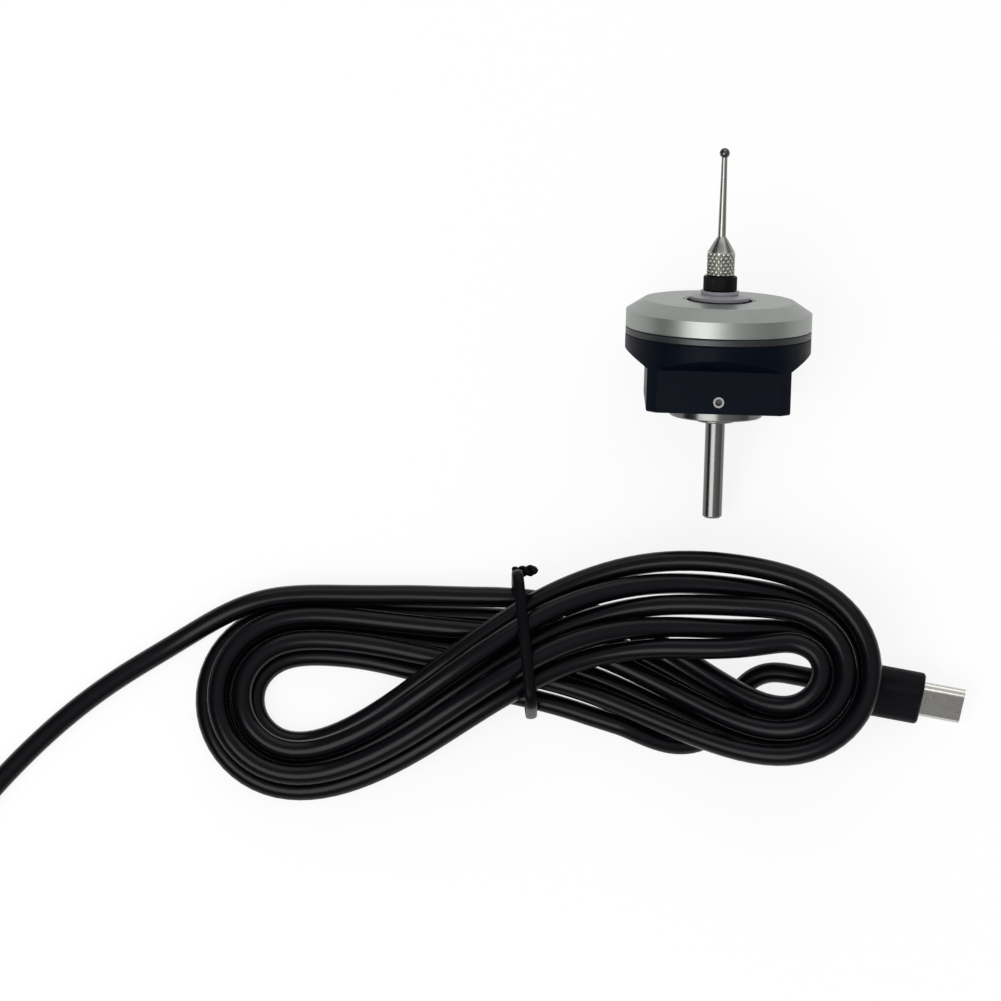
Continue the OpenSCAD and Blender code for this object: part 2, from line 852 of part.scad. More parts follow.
// Middle of the strand after so many loops: odd places nest above and between even ones
function strand(turns) = let (
    at = (turns - floor(turns)) * len(hank_line),
    along = unit(closed_slope(hank_line, at)),
    place = strand_place(turns),
    spread = min(max(closed_curve(hank_spread_shares, at), least_spread_share), 1),
    nest = sqrt(1 - spread * spread) * (1 - cos(180 * (place + (loops - 1) / 2))) / 2,
    spot = closed_curve(hank_line, at) + [along[1], -along[0]] * place * cord_pitch * spread
) [spot[0], spot[1], cord_d / 2 + (nest + max(closed_curve(hank_lift_shares, at), 0)) * cord_pitch];

// Every end of a stretch runs straight for one diameter of the lead
function run_out(end, way) = [for (share = [0, 0.5, 1]) end + share * cord_d * way];
function run_in(end, way) = [for (share = [1, 0.5, 0]) end + share * cord_d * way];

hank_count = ceil((loops + hank_end_share - hank_start_share) * 2 * rings_a_lobe);
hank_inner = [for (i = [0:hank_count])
    strand(hank_start_share + i * (loops + hank_end_share - hank_start_share) / hank_count)];
hank_first_way = unit(hank_inner[0] - hank_inner[1]);
hank_last_way = unit(hank_inner[hank_count] - hank_inner[hank_count - 1]);
hank_first = hank_inner[0] + cord_d * hank_first_way;
hank_last = hank_inner[hank_count] + cord_d * hank_last_way;
hank_points = concat([hank_first], hank_inner, [hank_last]);

// Plug: where its overmould's front lies, and how it is turned
plug_front = [43.5, -71.7];
plug_turn = -9.1;
plug_roll = 47.5;
plug_z = (mould_t + (mould_w - mould_t) * sin(plug_roll)) / 2;
plug_along = [cos(plug_turn), sin(plug_turn), 0];
relief_end = [plug_front[0], plug_front[1], plug_z] - (mould_len + relief_len) * plug_along;

// Free stretch from the plug to the hank, led by hand-chosen points
lead_in_points = concat(
    run_out(relief_end, -plug_along),
    [[11.5, -66.5, 5], [5.8, -70.5, 4], [4.4, -77.2, 2.6], [-1, -82, 2.2], [-8.2, -82.6, 2.7]],
    run_in(hank_first, hank_first_way)
);

// Far end: where the lead's jacket ends, and the way that it points there
tail_end = [-156, -122, 2.75];
tail_along = [0, -1, 0];

// Free stretch from the hank to the small connector, led by hand-chosen points
tail_points = concat(
    run_out(hank_last, hank_last_way),
    [
        [-61.5, -53.6, 6.8], [-68, -53.8, 6.5], [-75, -53.9, 6.3], [-82, -54, 6.3], [-88.5, -54.6, 6.3],
        [-94.5, -56.2, 6], [-100.5, -59, 4.8], [-106.5, -62.6, 3], [-112.5, -66.4, 2.15],
        [-119, -70.6, 2.15], [-126, -75.8, 2.15], [-133.5, -82.4, 2.15], [-141.5, -90.8, 2.15],
        [-149, -100, 2.25], [-154.6, -110, 2.6],
    ],
    run_in(tail_end, -tail_along)
);

function smooth_route(points, parts) = let (
    last = len(points) - 1,
    whole = concat([2 * points[0] - points[1]], points, [2 * points[last] - points[last - 1]])
) concat([for (i = [0:last - 1], k = [0:parts - 1])
    curve(whole[i], whole[i + 1], whole[i + 2], whole[i + 3], k / parts)], [points[last]]);

lead_in_rings = smooth_route(lead_in_points, 2);
tail_rings = smooth_route(tail_points, 2);

// Least gap of the hank to itself, from every ring to every stretch between two later rings
function to_stretch(p, a, b) = let (share = min(max((p - a) * (b - a) / ((b - a) * (b - a)), 0), 1))
    norm(p - a - share * (b - a));

function path_len(points) =
    [for (i = [0:len(points) - 2]) norm(points[i + 1] - points[i])] * [for (i = [0:len(points) - 2]) 1];

near_rings = 5;
hank_gap = min([for (i = [0:hank_count - near_rings], j = [i + near_rings:hank_count])
    to_stretch(hank_points[i], hank_points[j], hank_points[j + 1])]) - cord_d;
hank_len = path_len(hank_points);
lead_in_len = path_len(lead_in_rings);
tail_len = path_len(tail_rings);

echo(hank_gap = hank_gap, hank_len = hank_len, lead_in_len = lead_in_len, tail_len = tail_len);

module cord_hank() {
    color([0.03, 0.03, 0.03])
        tube(hank_points, cord_d, 6);
}

module cord_lead_in() {
    color([0.03, 0.03, 0.03])
        tube(lead_in_rings, cord_d, 8);
}

module cord_tail() {
    color([0.03, 0.03, 0.03])
        tube(tail_rings, cord_d, 8);
}

// Plug: its own X axis runs out of the shell, its Y axis across the width
module at_plug() {
    translate([plug_front[0], plug_front[1], plug_z])
        rotate([plug_roll, 0, plug_turn])
            children();
}

shell_depth = 3;
plug_wall = 0.3;
slot_w = 6.8;
slot_t = 0.9;
slot_depth = 6;
mould_step = 0.5;

module plug_overmould() {
    color([0.05, 0.05, 0.06]) at_plug() difference() {
        union() {
            round_bar(mould_w, mould_t, -mould_len, -mould_step);
            round_bar(mould_w - mould_step, mould_t - mould_step, -mould_step, 0);
        }
        round_bar(plug_w + 2 * fit_gap, plug_t + 2 * fit_gap, -shell_depth, over);
    }
}

module plug_strain_relief() {
    color([0.05, 0.05, 0.06]) at_plug()
        translate([-mould_len, 0, 0])
            rotate([0, -90, 0])
                cylinder(d1 = mould_t - mould_step, d2 = cord_d + mould_step, h = relief_len);
}

module plug_shell() {
    color("silver") at_plug() difference() {
        round_bar(plug_w, plug_t, -shell_depth, plug_len);
        round_bar(plug_w - 2 * plug_wall, plug_t - 2 * plug_wall, -shell_depth + plug_wall, plug_len + over);
    }
}

module plug_insert() {
    color([0.07, 0.07, 0.07]) at_plug() difference() {
        round_bar(plug_w - 2 * plug_wall - 2 * fit_gap, plug_t - 2 * plug_wall - 2 * fit_gap,
                  -shell_depth + plug_wall, plug_len - mould_step);
        round_bar(slot_w, slot_t, plug_len - slot_depth, plug_len + over);
    }
}

// Tie: a band round the waist of the hank, with its twisted ends as a bar on one side
tie_from = [-39.7, -49.5];
tie_to = [-35.82, -78.2];
tie_low = 1.1;
tie_high = 20.4;
tie_round = 4;
tie_twist_d = 2.4;
tie_twist_len = 5.4;
tie_twist_drop = 5.4;

module rounded_box(width, height, round) {
    for (x = [round, width - round], y = [round, height - round])
        translate([x, y])
            circle(r = round);
    translate([round, 0])
        square([width - 2 * round, height]);
    translate([0, round])
        square([width, height - 2 * round]);
}

module cable_tie() {
    tie_run = tie_from - tie_to;
    tie_len = norm(tie_run);
    tie_h = tie_high - tie_low;
    color([0.03, 0.03, 0.03])
        translate([tie_to[0], tie_to[1], tie_low])
            rotate([90, 0, atan2(tie_run[1], tie_run[0])]) {
                translate([0, 0, -tie_w / 2])
                    linear_extrude(height = tie_w)
                        difference() {
                            rounded_box(tie_len, tie_h, tie_round);
                            translate([tie_t, tie_t])
                                rounded_box(tie_len - 2 * tie_t, tie_h - 2 * tie_t, tie_round - tie_t);
                        }
                translate([tie_len, tie_h - tie_twist_drop, -tie_w / 2])
                    cylinder(d = tie_twist_d, h = tie_twist_len);
            }
}

// Far end of the lead: sleeve, three wires and a small connector, lying along -Y
module at_tail() {
    translate(tail_end)
        rotate([90, 0, 0])
            children();
}

wire_grip = 3;

module three_rods(from, to, d) {
    wire_space = tail_wire_d + loose_gap;
    for (i = [-1, 0, 1])
        translate([i * wire_space, 0, 0])
            disc(d, from, to);
}

module tail_sleeve() {
    color([0.03, 0.03, 0.03]) at_tail() difference() {
        disc(sleeve_d, 0, sleeve_len);
        three_rods(sleeve_len - wire_grip, sleeve_len + over, tail_wire_d);
    }
}

module tail_wires() {
    color([0.7, 0.1, 0.1]) at_tail()
        three_rods(sleeve_len - wire_grip, sleeve_len + tail_wire_len + wire_grip,
                   tail_wire_d - 2 * fit_gap);
}

connector_margin = 0.45;
connector_w = 3 * contact_pitch + 2 * connector_margin;
connector_t = 5.2;
contact_hole = 1;

module tail_connector() {
    color([0.9, 0.88, 0.82]) at_tail() difference() {
        translate([-connector_w / 2, -connector_t / 2, sleeve_len + tail_wire_len])
            cube([connector_w, connector_t, connector_len]);
        three_rods(sleeve_len, sleeve_len + tail_wire_len + wire_grip, tail_wire_d);
        for (i = [-1, 0, 1])
            translate([i * contact_pitch, 0, sleeve_len + tail_wire_len + connector_len])
                cube([contact_hole, contact_hole, 2 * wire_grip], center = true);
    }
}

shank();
shank_screw();
shank_washer();
centring_screws();
housing();
lower_gasket();
middle_ring();
upper_gasket();
top_cover();
retaining_ring();
cover_screws();
circuit_board();
board_chips();
board_screws();
status_leds();
usb_socket_shell();
usb_socket_tongue();
hookup_wires();
ball_seat_ring();
seat_balls();
return_spring();
spring_cap();
pressure_ball();
tripod_hub();
contact_pins();
dust_skirt();
lock_collar();
stylus_stem();
stylus_ball();
cord_hank();
cord_lead_in();
cord_tail();
plug_overmould();
plug_strain_relief();
plug_shell();
plug_insert();
cable_tie();
tail_sleeve();
tail_wires();
tail_connector();
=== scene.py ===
import math

import bmesh
import bpy
from mathutils import Matrix, Vector


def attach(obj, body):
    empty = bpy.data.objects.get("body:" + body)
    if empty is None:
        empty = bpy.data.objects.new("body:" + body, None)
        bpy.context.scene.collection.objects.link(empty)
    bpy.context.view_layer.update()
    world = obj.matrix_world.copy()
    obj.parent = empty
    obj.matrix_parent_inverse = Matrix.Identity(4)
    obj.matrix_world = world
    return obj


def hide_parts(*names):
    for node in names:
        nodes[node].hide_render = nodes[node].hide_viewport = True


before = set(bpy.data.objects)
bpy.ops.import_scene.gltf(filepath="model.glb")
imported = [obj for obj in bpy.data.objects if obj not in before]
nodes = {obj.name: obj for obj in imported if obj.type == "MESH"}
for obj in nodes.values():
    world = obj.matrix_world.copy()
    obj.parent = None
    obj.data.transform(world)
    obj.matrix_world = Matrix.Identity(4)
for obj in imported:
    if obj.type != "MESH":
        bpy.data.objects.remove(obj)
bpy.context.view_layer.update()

MM = 0.001
scene = bpy.context.scene

# Camera: the photograph's view, in the row frame

PHOTO_SIZE = 1001
FOCAL_PIXELS = 4900
SENSOR_MM = 36
VIEW_AZIMUTH = 1.7
VIEW_ELEVATION = 78.47
VIEW_TARGET = Vector((-43.55, -31.95, 0)) * MM
VIEW_DISTANCE = 1012.6 * MM
CLIP_NEAR = 0.05
CLIP_FAR = 10


def add_camera():
    azimuth = math.radians(VIEW_AZIMUTH)
    elevation = math.radians(VIEW_ELEVATION)
    level = math.cos(elevation)
    away = Vector((math.sin(azimuth) * level, -math.cos(azimuth) * level, math.sin(elevation)))
    data = bpy.data.cameras.new("camera")
    data.sensor_width = SENSOR_MM
    data.lens = FOCAL_PIXELS / PHOTO_SIZE * SENSOR_MM
    data.clip_start = CLIP_NEAR
    data.clip_end = CLIP_FAR
    camera = bpy.data.objects.new("camera", data)
    camera.location = VIEW_TARGET + away * VIEW_DISTANCE
    camera.rotation_euler = away.to_track_quat("Z", "Y").to_euler()
    scene.collection.objects.link(camera)
    scene.camera = camera


add_camera()

# Lead: the same route as the solids follow, in millimetres

CORD_D = 4.2
LOOPS = 5
CORD_PITCH = 5
HANK_LINE = [
    (-37, -65.5), (-51, -64), (-66, -61.8), (-78, -60.6), (-89.6, -61.4), (-97.8, -69.2),
    (-98, -80.6), (-90, -89), (-78.2, -89.4), (-64, -83), (-50, -73), (-37, -64),
    (-24, -57.6), (-10, -53), (5, -51.6), (19.5, -52.8), (29.9, -61.3), (30.6, -74.1),
    (22, -83.3), (8.8, -83.8), (-8.5, -75.5), (-23.5, -68.5),
]
HANK_SPREAD_SHARES = [
    0.8, 0.7, 0.5, 0.5, 0.5, 0.5, 0.5, 0.5, 0.5, 0.55, 0.6,
    0.68, 0.8, 0.93, 0.9, 0.62, 0.5, 0.5, 0.5, 0.5, 0.7, 0.8,
]
HANK_LIFT_SHARES = [
    0.55, 0.3, 0, 0, 0, 0, 0, 0, 0.1, 1, 2.05,
    2.2, 2.3, 2.5, 2.6, 2.3, 2.25, 2.2, 1.95, 1.45, 0.6, 0.5,
]
SHIFT_SHARE = 0.59
SHIFT_HALF_SHARE = 0.08
HANK_START_SHARE = -0.05
HANK_END_SHARE = 0.04
STEPS_A_LOOP = 144
END_STEPS_A_LOOP = 48
ROUTE_PARTS = 8
CORD_BEVEL = 4
LEAST_SPREAD_SHARE = 0.5
PLUG_FRONT = (43.5, -71.7)
PLUG_TURN = math.radians(-9.1)
PLUG_ROLL = math.radians(47.5)
MOULD_W = 11.5
MOULD_T = 7
MOULD_LEN = 16
RELIEF_LEN = 6
PLUG_Z = (MOULD_T + (MOULD_W - MOULD_T) * math.sin(PLUG_ROLL)) / 2
PLUG_ALONG = Vector((math.cos(PLUG_TURN), math.sin(PLUG_TURN), 0))
LEAD_IN = [
    (11.5, -66.5, 5), (5.8, -70.5, 4), (4.4, -77.2, 2.6), (-1, -82, 2.2), (-8.2, -82.6, 2.7),
]
TAIL = [
    (-61.5, -53.6, 6.8), (-68, -53.8, 6.5), (-75, -53.9, 6.3), (-82, -54, 6.3),
    (-88.5, -54.6, 6.3), (-94.5, -56.2, 6), (-100.5, -59, 4.8), (-106.5, -62.6, 3),
    (-112.5, -66.4, 2.15), (-119, -70.6, 2.15), (-126, -75.8, 2.15), (-133.5, -82.4, 2.15),
    (-141.5, -90.8, 2.15), (-149, -100, 2.25), (-154.6, -110, 2.6),
]
TAIL_END = Vector((-156, -122, 2.75))
TAIL_ALONG = Vector((0, -1, 0))


def ease(x):
    x = min(max(x, 0), 1)
    return x * x * (3 - 2 * x)


def curve(a, b, c, d, f):
    """Point on a uniform cubic B-spline at the share f between its inner points b and c."""
    near = 4 - 6 * f**2 + 3 * f**3
    far = 1 + 3 * f + 3 * f**2 - 3 * f**3
    return (a * (1 - f)**3 + b * near + c * far + d * f**3) / 6


def slope(a, b, c, d, f):
    return (-a * (1 - f)**2 + b * (3 * f**2 - 4 * f) + c * (1 + 2 * f - 3 * f**2) + d * f**2) / 2


def closed(function, values, at):
    i = math.floor(at)
    a, b, c, d = (values[(i + k) % len(values)] for k in (-1, 0, 1, 2))
    return function(a, b, c, d, at - i)


def strand(turns):
    """Middle of the lead after so many loops of the hank."""
    turn = math.floor(turns)
    at = (turns - turn) * len(HANK_LINE)
    line = [Vector(p) for p in HANK_LINE]
    along = closed(slope, line, at).normalized()
    moved = ease((turns - turn - SHIFT_SHARE + SHIFT_HALF_SHARE) / (2 * SHIFT_HALF_SHARE))
    place = turn - (LOOPS - 1) / 2 + moved
    spread = min(max(closed(curve, HANK_SPREAD_SHARES, at), LEAST_SPREAD_SHARE), 1)
    nest = math.sqrt(1 - spread**2) * (1 - math.cos(math.pi * (place + (LOOPS - 1) / 2))) / 2
    spot = closed(curve, line, at) + Vector((along.y, -along.x)) * place * CORD_PITCH * spread
    lift = max(closed(curve, HANK_LIFT_SHARES, at), 0)
    return Vector((spot.x, spot.y, CORD_D / 2 + (nest + lift) * CORD_PITCH))


def smooth_route(points):
    whole = [2 * points[0] - points[1], *points, 2 * points[-1] - points[-2]]
    inner = [curve(*whole[i:i + 4], k / ROUTE_PARTS)
             for i in range(len(points) - 1) for k in range(ROUTE_PARTS)]
    return inner + [points[-1]]


def run_out(end, way):
    """Straight end of a stretch, one diameter long."""
    return [end + share * CORD_D * way for share in (0, 0.5, 1)]


def lead_route():
    """The whole lead as one list of points, from the plug's strain relief to the far end."""
    length = LOOPS + HANK_END_SHARE - HANK_START_SHARE
    coarse = math.ceil(length * END_STEPS_A_LOOP)
    count = math.ceil(length * STEPS_A_LOOP)
    hank = [strand(HANK_START_SHARE + length * i / count) for i in range(count + 1)]
    first_way = (hank[0] - strand(HANK_START_SHARE + length / coarse)).normalized()
    last_way = (hank[-1] - strand(HANK_START_SHARE + length * (coarse - 1) / coarse)).normalized()
    first, last = hank[0] + CORD_D * first_way, hank[-1] + CORD_D * last_way
    relief_end = Vector((*PLUG_FRONT, PLUG_Z)) - (MOULD_LEN + RELIEF_LEN) * PLUG_ALONG
    lead_in = [*run_out(relief_end, -PLUG_ALONG), *map(Vector, LEAD_IN)]
    lead_in += reversed(run_out(first, first_way))
    tail = [*run_out(last, last_way), *map(Vector, TAIL)]
    tail += reversed(run_out(TAIL_END, -TAIL_ALONG))
    return smooth_route(lead_in)[:-1] + [first] + hank + [last] + smooth_route(tail)[1:]


def new_curve(name, points, radius, bevel):
    """Round curve through points in millimetres."""
    data = bpy.data.curves.new(name, "CURVE")
    data.dimensions = "3D"
    data.bevel_depth = 1
    data.bevel_resolution = bevel
    data.use_fill_caps = True
    spline = data.splines.new("POLY")
    spline.points.add(len(points) - 1)
    for point, place in zip(spline.points, points):
        point.co = (*(place * MM), 1)
        point.radius = radius * MM
    spline.use_smooth = True
    obj = bpy.data.objects.new(name, data)
    scene.collection.objects.link(obj)
    return obj


lead_points = lead_route()
lead = new_curve("signal_lead", lead_points, CORD_D / 2, CORD_BEVEL)
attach(lead, "lead")
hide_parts("cord_hank", "cord_lead_in", "cord_tail")

# Where the probe lies, on one flat and its rim; names in _AT are heights along its axis

FLAT_REACH = 14.6
BODY_D = 38
FLATS_H = 8.7
SLOPE_H = 2.7
LIE = math.atan2(BODY_D / 2 - FLAT_REACH, FLATS_H + SLOPE_H)
SHANK_TIP_AT = -23.5
SHANK_TIP_R = 1.6
BALL_AT = 51.5
BALL_R = 1.05
Y_MID = ((SHANK_TIP_AT + BALL_AT) * math.cos(LIE) - SHANK_TIP_R * math.sin(LIE) + BALL_R) / 2
AXIS_Z = FLAT_REACH * math.cos(LIE)
PROBE = (Matrix.Translation((0, -Y_MID * MM, AXIS_Z * MM))
         @ Matrix.Rotation(LIE - math.pi / 2, 4, "X"))

# Stylus and collar: finer turned pieces in place of the plain solids, in millimetres

COLLAR_AT = 23.4
GRIP_AT = 26.5
CONE_AT = 31.4
STEM_AT = 34.5
EDGE = 0.25
SMOOTH_ANGLE = 35
STUD_LEN = 5
STUD_R = 1.48
BORE_GAP = 0.02
BORE_R = STUD_R + BORE_GAP
GRIP_R = 2.85
SHOULDER_R = GRIP_R - EDGE * 0.4
STEM_R = 0.82
STEM_TIP_R = 0.58
CONE_SWELL = 0.12
CONE_START_SHARE = 0.08
STEM_START_SHARE = 0.03
TURNED_STEPS = 12
STYLUS_SIDES = 96
KNURL_DEPTH = 0.3
KNURL_COUNT = 16
KNURL_PITCH = 1.4
KNURL_SIDES = 10 * KNURL_COUNT
KNURL_STEPS = 60
KNURL_STEEPNESS = 1.6
KNURL_SMOOTH = 60
COLLAR_R = 3.45
COLLAR_STEPS = 4
FLUTE_DEPTH = 0.07
FLUTE_COUNT = 54
FLUTE_SMOOTH = 45
COLLAR_SIDES = 6 * FLUTE_COUNT


def new_mesh(name, points, faces, body, replaced, smooth_angle=SMOOTH_ANGLE):
    mesh = bpy.data.meshes.new(name)
    mesh.from_pydata(points, [], faces)
    edit = bmesh.new()
    edit.from_mesh(mesh)
    bmesh.ops.remove_doubles(edit, verts=edit.verts, dist=1e-7)
    bmesh.ops.recalc_face_normals(edit, faces=edit.faces)
    edit.to_mesh(mesh)
    edit.free()
    mesh.shade_smooth()
    mesh.set_sharp_from_angle(angle=math.radians(smooth_angle))
    obj = bpy.data.objects.new(name, mesh)
    scene.collection.objects.link(obj)
    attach(obj, body)
    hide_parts(*replaced)


def tube_faces(rings, sides, closed_up=False):
    """Faces between rings of points; with closed_up the last ring joins the first."""
    faces = []
    for i in range(rings if closed_up else rings - 1):
        here, there = i * sides, (i + 1) % rings * sides
        for k in range(sides):
            beside = (k + 1) % sides
            faces.append((here + k, here + beside, there + beside, there + k))
    return faces


def revolve(name, profile, sides, body, replaced, relief=None, smooth_angle=SMOOTH_ANGLE):
    """Turned piece on the probe's axis; relief(angle share, height) is cut off the radius."""
    points = []
    for radius, height in profile:
        for k in range(sides):
            angle = 2 * math.pi * k / sides
            cut = relief(k / sides, height) if relief else 0
            r = max(radius - cut, 0)
            spot = Vector((r * math.cos(angle), r * math.sin(angle), height))
            points.append(PROBE @ (spot * MM))
    new_mesh(name, points, tube_faces(len(profile), sides), body, replaced, smooth_angle)


def zigzag(x):
    """Wave from 0 in the grooves up to 1 halfway between them."""
    x = x % 1
    return 1 - abs(2 * x - 1)


def knurl(share, height):
    low, high = GRIP_AT + EDGE, CONE_AT - EDGE
    if not low < height < high:
        return 0
    left = zigzag(KNURL_COUNT * share + (height - low) / KNURL_PITCH)
    right = zigzag(KNURL_COUNT * share - (height - low) / KNURL_PITCH)
    return KNURL_DEPTH * (1 - min(min(left, right) * KNURL_STEEPNESS, 1))


def flutes(share, height):
    inside = COLLAR_AT + EDGE * 0.8 < height < GRIP_AT - EDGE * 0.8
    return FLUTE_DEPTH * zigzag(FLUTE_COUNT * share) if inside else 0


def steps(start, end, count):
    return [start + (end - start) * i / count for i in range(count + 1)]


def add_stylus():
    ball_seat = BALL_AT - math.sqrt(BALL_R**2 - STEM_TIP_R**2)
    stud_at = COLLAR_AT - STUD_LEN
    profile = [(0, stud_at), (STUD_R, stud_at), (STUD_R, CONE_AT), (SHOULDER_R, CONE_AT)]
    for share in steps(CONE_START_SHARE, 1, TURNED_STEPS):
        swell = CONE_SWELL * math.sin(math.pi * share) * share
        radius = SHOULDER_R + (STEM_R - SHOULDER_R) * share + swell
        profile.append((min(radius, GRIP_R), CONE_AT + (STEM_AT - CONE_AT) * share))
    profile += [(STEM_R + (STEM_TIP_R - STEM_R) * share, STEM_AT + (ball_seat - STEM_AT) * share)
                for share in steps(STEM_START_SHARE, 1, TURNED_STEPS)]
    profile += [(0, ball_seat)]
    revolve("stylus_turned", profile, STYLUS_SIDES, "stylus", ["stylus_stem"])
    profile = [(BORE_R, GRIP_AT), (GRIP_R - EDGE, GRIP_AT)]
    profile += [(GRIP_R, height) for height in steps(GRIP_AT + EDGE, CONE_AT - EDGE, KNURL_STEPS)]
    profile += [(SHOULDER_R, CONE_AT), (BORE_R, CONE_AT), (BORE_R, GRIP_AT)]
    revolve("stylus_knurl", profile, KNURL_SIDES, "stylus", ["stylus_stem"], knurl, KNURL_SMOOTH)


def add_collar():
    profile = [(BORE_R, COLLAR_AT), (COLLAR_R - EDGE, COLLAR_AT), (COLLAR_R, COLLAR_AT + EDGE)]
    low, high = COLLAR_AT + EDGE * 1.2, GRIP_AT - EDGE * 1.2
    profile += [(COLLAR_R, height) for height in steps(low, high, COLLAR_STEPS)]
    profile += [(COLLAR_R, GRIP_AT - EDGE), (COLLAR_R - EDGE, GRIP_AT)]
    profile += [(BORE_R, GRIP_AT), (BORE_R, COLLAR_AT)]
    revolve("collar_fluted", profile, COLLAR_SIDES, "stylus", ["lock_collar"], flutes, FLUTE_SMOOTH)


# Plug body

PLUG_ROUND = 0.8
PLUG_ROUND_STEPS = 5
PLUG_SIDES = 48
PLUG = (Matrix.Translation(Vector((*PLUG_FRONT, PLUG_Z)) * MM) @ Matrix.Rotation(PLUG_TURN, 4, "Z")
        @ Matrix.Rotation(PLUG_ROLL, 4, "X"))


def add_plug_body():
    """Moulded plug body: round-ended sections along it, with rounded front and rear edges."""
    sections = [(-MOULD_LEN + PLUG_ROUND * (1 - math.cos(a)), PLUG_ROUND * (1 - math.sin(a)))
                for a in steps(0, math.pi / 2, PLUG_ROUND_STEPS)]
    sections += [(-x - MOULD_LEN, inset) for x, inset in reversed(sections)]
    points = []
    for x, inset in sections:
        half = MOULD_T / 2 - inset
        for k in range(PLUG_SIDES):
            angle = 2 * math.pi * k / PLUG_SIDES
            shift = math.copysign((MOULD_W - MOULD_T) / 2, math.cos(angle))
            spot = Vector((x, shift + half * math.cos(angle), half * math.sin(angle)))
            points.append(PLUG @ (spot * MM))
    faces = tube_faces(len(sections), PLUG_SIDES)
    faces += [tuple(range(PLUG_SIDES)), tuple(range(len(points) - PLUG_SIDES, len(points)))]
    new_mesh("plug_body", points, faces, "lead", ["plug_overmould"])


# Tie

TIE_FROM = Vector((-39.7, -49.5))
TIE_TO = Vector((-35.82, -78.2))
TIE_LOW = 1.1
TIE_HIGH = 20.4
TIE_ROUND = 4
TIE_T = 1.1
TIE_W = 2.3
TIE_SIDES = 16
TIE_CORNER_STEPS = 8
TWIST_DROP = 5.4
TWIST_WIRE = 1.3
TWIST_LEN = 4.4
TWIST_TURNS = 1.4
TWIST_R = 0.55
TWIST_OUT = 0.2
TWIST_STEPS = 40
TWIST_BEVEL = 3


def add_tie():
    """Coated wire pulled flat round the waist of the hank, with its two ends twisted together."""
    run = TIE_TO - TIE_FROM
    along = Vector((*run.normalized(), 0))
    across = Vector((-along.y, along.x, 0))
    upward = Vector((0, 0, 1))
    foot = Vector((*TIE_FROM, TIE_LOW))
    width, height = run.length, TIE_HIGH - TIE_LOW
    ring = [(math.cos(a), math.sin(a)) for a in steps(0, 2 * math.pi, TIE_SIDES)[:-1]]
    points = []
    for corner, (x, z) in enumerate([(width, height), (0, height), (0, 0), (width, 0)]):
        middle = foot + along * (x - TIE_ROUND if x else TIE_ROUND)
        middle += upward * (z - TIE_ROUND if z else TIE_ROUND)
        for angle in steps(corner * math.pi / 2, (corner + 1) * math.pi / 2, TIE_CORNER_STEPS):
            out = along * math.cos(angle) + upward * math.sin(angle)
            for r, t in ring:
                reach = TIE_ROUND - TIE_T / 2 + TIE_T / 2 * r
                points.append((middle + out * reach + across * TIE_W / 2 * t) * MM)
    faces = tube_faces(len(points) // TIE_SIDES, TIE_SIDES, closed_up=True)
    new_mesh("tie_loop", points, faces, "lead", ["cable_tie"])
    for name, side in (("tie_twist_a", 0), ("tie_twist_b", math.pi)):
        twist = []
        for share in steps(0, 1, TWIST_STEPS):
            angle = side + share * TWIST_TURNS * 2 * math.pi
            rise = upward * (height - TWIST_DROP + TWIST_R * math.sin(angle))
            out = along * (TWIST_OUT - TWIST_R * math.cos(angle))
            twist.append(foot + out + across * (TWIST_LEN * share - TIE_T / 2) + rise)
        end = new_curve(name, twist, TWIST_WIRE / 2, TWIST_BEVEL)
        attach(end, "lead")


add_stylus()
add_collar()
add_plug_body()
add_tie()

# Materials: all procedural; patterns that follow the turned shapes use the probe's own axis

RING_SHARE = 0.7
PATCH_SCALE = 250
MARK_SCALE = 2500
CENTRING_AT = 2.4
CENTRING_KEY = 1.3


def set_range(node, start, end, low, high):
    node.inputs["From Min"].default_value = start
    node.inputs["From Max"].default_value = end
    node.inputs["To Min"].default_value = low
    node.inputs["To Max"].default_value = high


